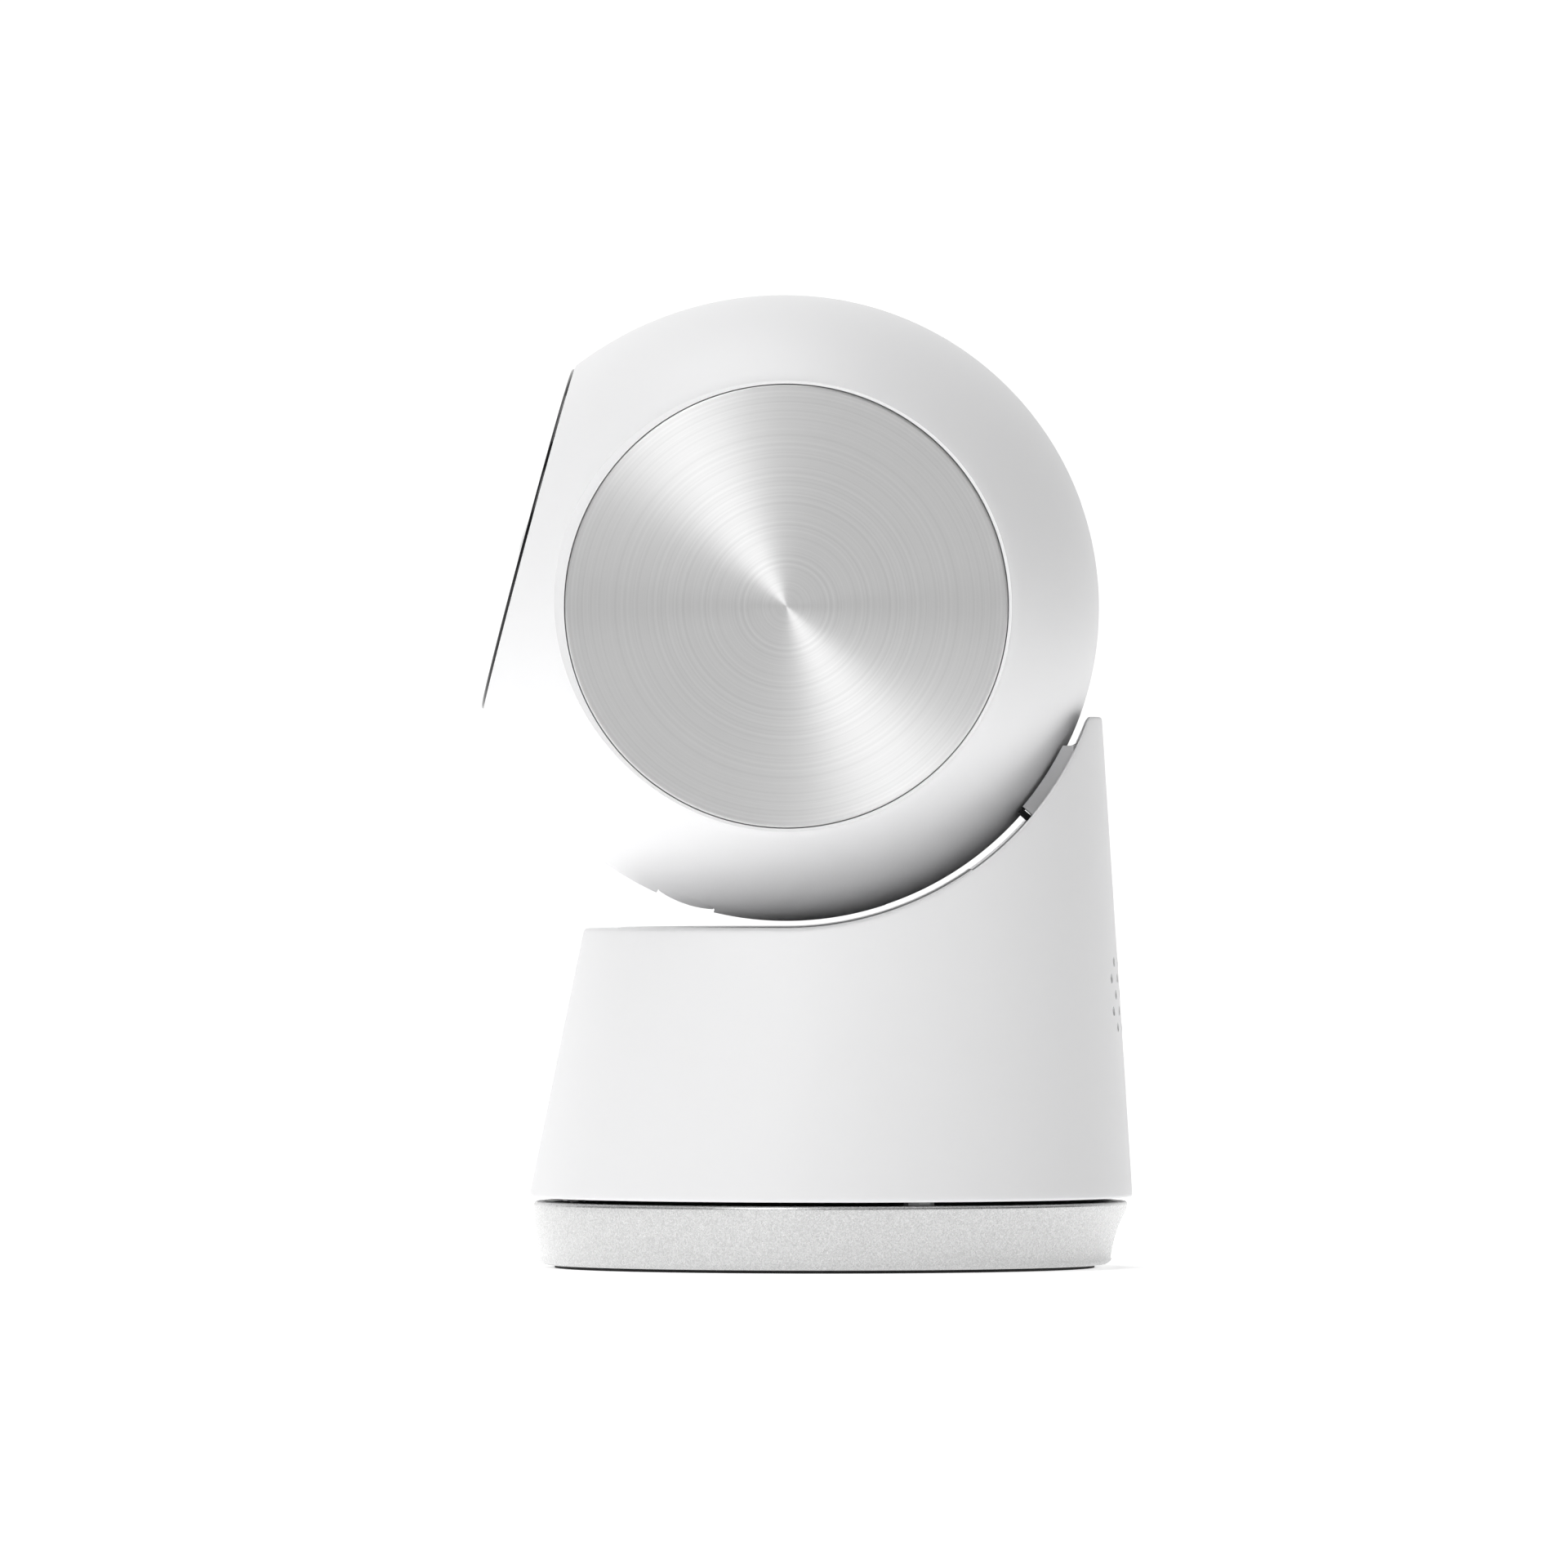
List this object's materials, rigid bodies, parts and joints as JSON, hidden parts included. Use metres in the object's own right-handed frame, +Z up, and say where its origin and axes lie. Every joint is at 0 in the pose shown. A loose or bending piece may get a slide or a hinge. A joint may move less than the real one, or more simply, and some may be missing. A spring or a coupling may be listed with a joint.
{
  "type": "indoor pan-and-tilt security camera",
  "caption": "Ball-headed indoor camera on a leaning round housing that pans on a low base; the head tilts on a hidden arm.",
  "frame": {"origin": "centre of the flat underside of the rubber foot, on the pan axis", "axes": "+Z up along the pan axis, -Y towards the front that the lens faces, +X to the camera's left; the tilt axis runs along X"},
  "size_m": [0.076, 0.0821, 0.1223],
  "materials": {
    "white_plastic": "fine satin moulding",
    "silver_paint": "metallic silver paint",
    "turned_metal": "turned in fine rings",
    "black_glass": "polished",
    "clear_lens": "polished clear",
    "coated_lens": "polished with a violet coating",
    "rubber": "matt",
    "black_plastic": "fine moulding",
    "steel": "plain",
    "aluminium": "plain",
    "gear_plastic": "smooth moulding",
    "circuit_board": "solder resist",
    "chip": "plain"
  },
  "bodies": {
    "base": {"foot_pad": "rubber", "base_shell": "silver_paint", "base_deck": "black_plastic", "ballast_plate": "steel", "power_board": "circuit_board", "usb_socket_shell": "steel", "usb_socket_tongue": "black_plastic", "reset_switch": "chip", "pan_spindle": "steel", "pan_gear": "gear_plastic", "pan_bearing": "steel", "pan_clip": "steel", "base_screw_1": "steel", "base_screw_2": "steel", "base_screw_3": "steel"},
    "reset_button_body": {"reset_button": "black_plastic"},
    "turret": {"housing_shell": "white_plastic", "cradle_cover": "white_plastic", "speaker": "black_plastic", "microphone": "black_plastic", "turret_floor": "black_plastic", "floor_screw_1": "steel", "floor_screw_2": "steel", "floor_screw_3": "steel", "pan_motor": "steel", "pan_cable": "rubber", "neck_cover": "white_plastic", "neck_boot": "rubber", "tilt_arm": "steel", "main_board": "circuit_board", "heat_sink": "aluminium", "board_screw_1": "steel", "board_screw_2": "steel", "tilt_gear": "gear_plastic", "tilt_axle": "steel"},
    "pan_pinion_body": {"pan_pinion": "gear_plastic"},
    "head": {"head_shell_left": "white_plastic", "head_shell_right": "white_plastic", "side_disc_left": "turned_metal", "side_disc_right": "turned_metal", "head_screw_1": "steel", "head_screw_2": "steel", "head_screw_3": "steel", "head_screw_4": "steel", "face_glass": "black_glass", "lens_dome": "clear_lens", "lens_element": "coated_lens", "lens_barrel": "black_plastic", "sensor_board": "circuit_board", "image_sensor": "chip", "led_board": "circuit_board", "infrared_led_1": "chip", "infrared_led_2": "chip", "head_chassis": "black_plastic", "tilt_bush_left": "gear_plastic", "tilt_bush_right": "gear_plastic", "tilt_motor": "steel", "card_door": "white_plastic", "card_socket": "steel"},
    "tilt_pinion_body": {"tilt_pinion": "gear_plastic"}
  },
  "joints": [
    {"name": "pan", "type": "hinge", "parent": "base", "child": "turret", "pos_m": [0, 0, 0.012], "axis": [0, 0, 1], "range_deg": [-175, 175]},
    {"name": "tilt", "type": "hinge", "parent": "turret", "child": "head", "pos_m": [0, -0.0056, 0.083], "axis": [-1, 0, 0], "range_deg": [-30, 45]},
    {"name": "pan_pinion_spin", "type": "hinge", "parent": "turret", "child": "pan_pinion_body", "pos_m": [-0.01414, -0.01414, 0.01], "axis": [0, 0, 1], "range_deg": [-530, 530]},
    {"name": "tilt_pinion_spin", "type": "hinge", "parent": "head", "child": "tilt_pinion_body", "pos_m": [0.003, -0.00146, 0.09845], "axis": [-1, 0, 0], "range_deg": [-95, 140]},
    {"name": "reset_press", "type": "slide", "parent": "base", "child": "reset_button_body", "axis": [0.4695, -0.8829, 0], "range_m": [0, 0.0005], "stiffness_N_per_m": 600}
  ],
  "couplings": [
    {"joint": "pan_pinion_spin", "follows": "pan", "ratio": 3},
    {"joint": "tilt_pinion_spin", "follows": "tilt", "ratio": 3}
  ]
}
